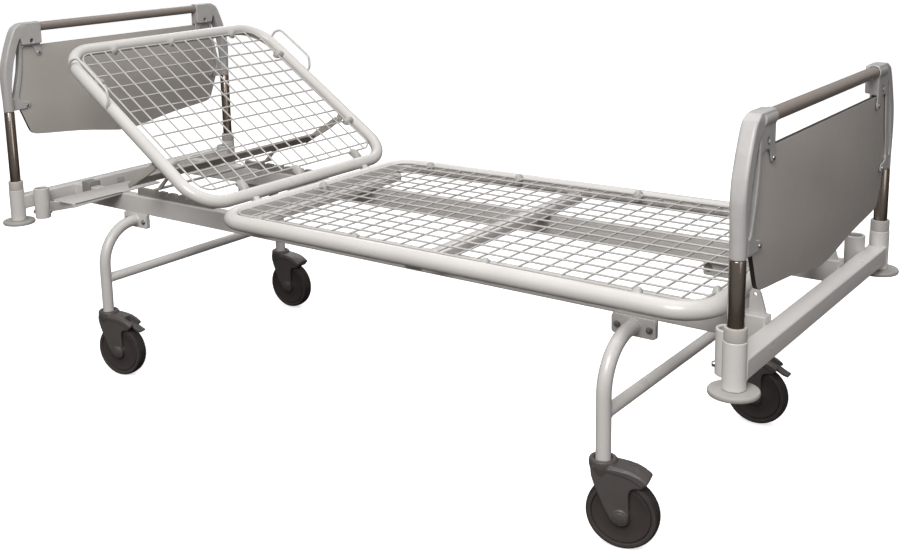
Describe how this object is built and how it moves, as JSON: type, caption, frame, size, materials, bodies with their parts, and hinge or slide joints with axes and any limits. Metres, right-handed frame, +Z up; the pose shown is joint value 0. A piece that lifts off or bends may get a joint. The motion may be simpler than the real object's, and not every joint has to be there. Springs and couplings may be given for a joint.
{
  "type": "adjustable hospital bed",
  "caption": "Manual ward bed: twin-rail steel frame on bent legs with swivel casters, wire-mesh platform, hinged backrest on a ratchet prop, lift-off head and foot boards.",
  "frame": {"origin": "on the floor, below the centre of the bed", "axes": "+X towards the foot end, +Y towards the side the backrest's far corner is on when seen from the foot-left corner, +Z up"},
  "size_m": [2.1778, 0.9194, 0.9666],
  "materials": {
    "enamel": "satin powder coat",
    "casting_grey": "satin moulded plastic",
    "chrome": "polished",
    "grip_grey": "satin",
    "laminate": "matt high-pressure laminate on board",
    "bumper_grey": "matt",
    "zinc": "bright zinc",
    "dark_steel": "matt",
    "fork_plastic": "matt moulded",
    "wheel_plastic": "satin moulded",
    "tread": "matt"
  },
  "bodies": {
    "frame": {"main_frame": "enamel", "foot_leg_frame": "enamel", "head_leg_frame": "enamel", "foot_section_frame": "enamel", "foot_section_mesh": "enamel", "head_tray": "enamel", "head_rail_clamp": "bumper_grey", "ratchet_comb_near": "dark_steel", "ratchet_comb_far": "dark_steel", "hinge_pin_near": "zinc", "hinge_pin_far": "zinc", "post_collar_near_foot": "bumper_grey", "corner_bumper_near_foot": "bumper_grey", "leg_bolt_near_foot_inner": "zinc", "leg_bolt_near_foot_outer": "zinc", "post_collar_near_head": "bumper_grey", "corner_bumper_near_head": "bumper_grey", "leg_bolt_near_head_inner": "zinc", "leg_bolt_near_head_outer": "zinc", "post_collar_far_foot": "bumper_grey", "corner_bumper_far_foot": "bumper_grey", "leg_bolt_far_foot_inner": "zinc", "leg_bolt_far_foot_outer": "zinc", "post_collar_far_head": "bumper_grey", "corner_bumper_far_head": "bumper_grey", "leg_bolt_far_head_inner": "zinc", "leg_bolt_far_head_outer": "zinc"},
    "backrest": {"backrest_frame": "enamel", "backrest_mesh": "enamel", "prop_pin_near": "zinc", "prop_pin_far": "zinc"},
    "prop": {"prop_frame": "dark_steel"},
    "head_board": {"board_casting_near_head": "casting_grey", "board_casting_far_head": "casting_grey", "board_post_near_head": "chrome", "board_post_far_head": "chrome", "board_handle_head": "grip_grey", "board_panel_head": "laminate"},
    "foot_board": {"board_casting_near_foot": "casting_grey", "board_casting_far_foot": "casting_grey", "board_post_near_foot": "chrome", "board_post_far_foot": "chrome", "board_handle_foot": "grip_grey", "board_panel_foot": "laminate"},
    "caster_near_foot": {"caster_fork_near_foot": "fork_plastic"},
    "wheel_near_foot": {"wheel_tyre_near_foot": "tread", "wheel_hub_near_foot": "wheel_plastic"},
    "caster_far_foot": {"caster_fork_far_foot": "fork_plastic"},
    "wheel_far_foot": {"wheel_tyre_far_foot": "tread", "wheel_hub_far_foot": "wheel_plastic"},
    "pedal_far_foot": {"brake_pedal_far_foot": "fork_plastic"},
    "caster_near_head": {"caster_fork_near_head": "fork_plastic"},
    "wheel_near_head": {"wheel_tyre_near_head": "tread", "wheel_hub_near_head": "wheel_plastic"},
    "pedal_near_head": {"brake_pedal_near_head": "fork_plastic"},
    "caster_far_head": {"caster_fork_far_head": "fork_plastic"},
    "wheel_far_head": {"wheel_tyre_far_head": "tread", "wheel_hub_far_head": "wheel_plastic"}
  },
  "joints": [
    {"name": "backrest_hinge", "type": "hinge", "parent": "frame", "child": "backrest", "pos_m": [-0.3, 0, 0.516], "axis": [0, 1, 0], "range_deg": [-34.3, 30.7]},
    {"name": "prop_hinge", "type": "hinge", "parent": "backrest", "child": "prop", "pos_m": [-0.50223, 0, 0.62732], "axis": [0, -1, 0], "range_deg": [-74.4, 66.6]},
    {"name": "head_board_lift", "type": "slide", "parent": "frame", "child": "head_board", "axis": [0, 0, 1], "range_m": [0, 0.107]},
    {"name": "foot_board_lift", "type": "slide", "parent": "frame", "child": "foot_board", "axis": [0, 0, 1], "range_m": [0, 0.107]},
    {"name": "caster_swivel_near_foot", "type": "hinge", "parent": "frame", "child": "caster_near_foot", "pos_m": [0.765, -0.352, 0.16], "axis": [0, 0, 1], "continuous": true},
    {"name": "wheel_spin_near_foot", "type": "hinge", "parent": "caster_near_foot", "child": "wheel_near_foot", "pos_m": [0.8035, -0.34315, 0.0725], "axis": [-0.2241, 0.9746, 0], "continuous": true},
    {"name": "caster_swivel_far_foot", "type": "hinge", "parent": "frame", "child": "caster_far_foot", "pos_m": [0.765, 0.352, 0.16], "axis": [0, 0, 1], "continuous": true},
    {"name": "wheel_spin_far_foot", "type": "hinge", "parent": "caster_far_foot", "child": "wheel_far_foot", "pos_m": [0.80449, 0.35263, 0.0725], "axis": [-0.016, 0.9999, 0], "continuous": true},
    {"name": "brake_press_far_foot", "type": "hinge", "parent": "caster_far_foot", "child": "pedal_far_foot", "pos_m": [0.83499, 0.35312, 0.1515], "axis": [-0.016, 0.9999, 0], "range_deg": [0, 10]},
    {"name": "caster_swivel_near_head", "type": "hinge", "parent": "frame", "child": "caster_near_head", "pos_m": [-0.758, -0.347, 0.16], "axis": [0, 0, 1], "continuous": true},
    {"name": "wheel_spin_near_head", "type": "hinge", "parent": "caster_near_head", "child": "wheel_near_head", "pos_m": [-0.71931, -0.33904, 0.0725], "axis": [-0.2016, 0.9795, 0], "continuous": true},
    {"name": "brake_press_near_head", "type": "hinge", "parent": "caster_near_head", "child": "pedal_near_head", "pos_m": [-0.68944, -0.33289, 0.1515], "axis": [-0.2016, 0.9795, 0], "range_deg": [0, 10]},
    {"name": "caster_swivel_far_head", "type": "hinge", "parent": "frame", "child": "caster_far_head", "pos_m": [-0.758, 0.347, 0.16], "axis": [0, 0, 1], "continuous": true},
    {"name": "wheel_spin_far_head", "type": "hinge", "parent": "caster_far_head", "child": "wheel_far_head", "pos_m": [-0.71855, 0.34897, 0.0725], "axis": [-0.05, 0.9988, 0], "continuous": true}
  ],
  "couplings": [
    {"joint": "prop_hinge", "follows": "backrest_hinge", "ratio": 2.1648}
  ]
}
